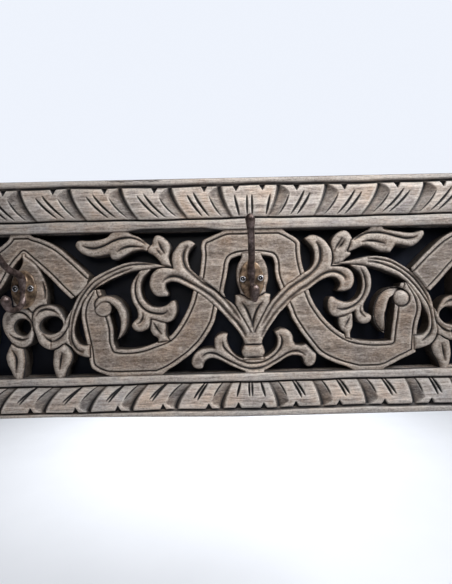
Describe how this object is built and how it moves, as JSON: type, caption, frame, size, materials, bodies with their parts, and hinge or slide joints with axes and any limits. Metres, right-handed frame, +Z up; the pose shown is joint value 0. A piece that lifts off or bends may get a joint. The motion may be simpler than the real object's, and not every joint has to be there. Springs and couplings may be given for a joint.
{
  "type": "carved wall coat rack",
  "caption": "Wall coat rack: a carved openwork wooden frieze in a leaf-carved frame, with cast double coat-and-hat hooks.",
  "frame": {"origin": "centre of the flat back, on the wall", "axes": "+X along the rack to the viewer's right, +Y into the wall, +Z up; the front faces -Y"},
  "size_m": [0.93, 0.1129, 0.305],
  "materials": {
    "rail_wood": "weathered, pale grey-brown, dry",
    "carved_wood": "weathered, grey-brown, darker in the cuts",
    "backing_paint": "thin black paint, satin",
    "hook_metal": "dark bronzed casting, rubbed to golden brown on the plate",
    "screw_metal": "plated, dull",
    "steel": "plain zinc plate"
  },
  "bodies": {
    "root": {"top_rail": "rail_wood", "bottom_rail": "rail_wood", "left_stile": "rail_wood", "right_stile": "rail_wood", "fret_panel": "carved_wood", "backing_board": "backing_paint", "backing_pins": "steel", "left_hanger_plate": "steel", "right_hanger_plate": "steel", "left_hanger_screws": "steel", "right_hanger_screws": "steel", "left_hook": "hook_metal", "left_hook_screw_a": "screw_metal", "left_hook_screw_b": "screw_metal", "centre_hook": "hook_metal", "centre_hook_screw_a": "screw_metal", "centre_hook_screw_b": "screw_metal", "right_hook": "hook_metal", "right_hook_screw_a": "screw_metal", "right_hook_screw_b": "screw_metal"}
  },
  "joints": []
}
